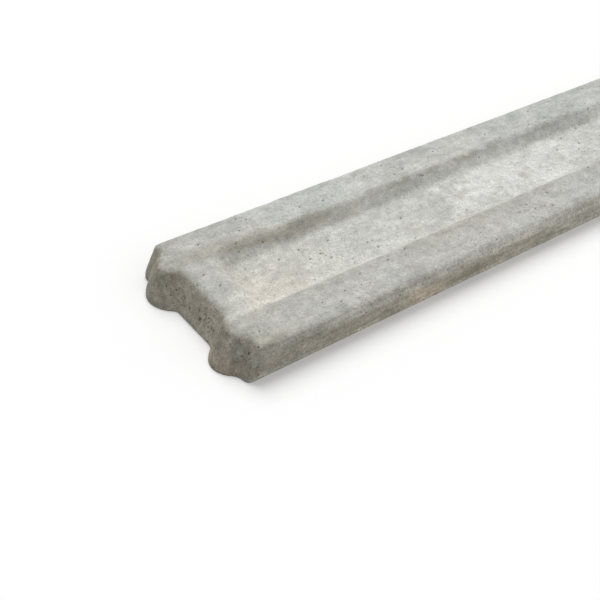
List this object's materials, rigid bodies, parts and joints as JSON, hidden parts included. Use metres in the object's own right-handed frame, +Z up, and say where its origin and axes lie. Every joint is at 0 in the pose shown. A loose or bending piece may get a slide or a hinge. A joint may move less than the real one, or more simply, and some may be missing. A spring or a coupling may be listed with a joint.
{
  "type": "concrete gravel board",
  "caption": "Long flat cast concrete gravel board with a recessed panel in its upper face and rounded lugs on both leaning ends.",
  "frame": {"origin": "middle of the underside, which lies on the floor", "axes": "+X along the board, +Y across it, +Z up out of the recessed face"},
  "size_m": [1.83, 0.305, 0.05],
  "materials": {
    "concrete": "pale grey cast concrete, weathered, with small air holes"
  },
  "bodies": {
    "root": {"gravel_board": "concrete"}
  },
  "joints": []
}
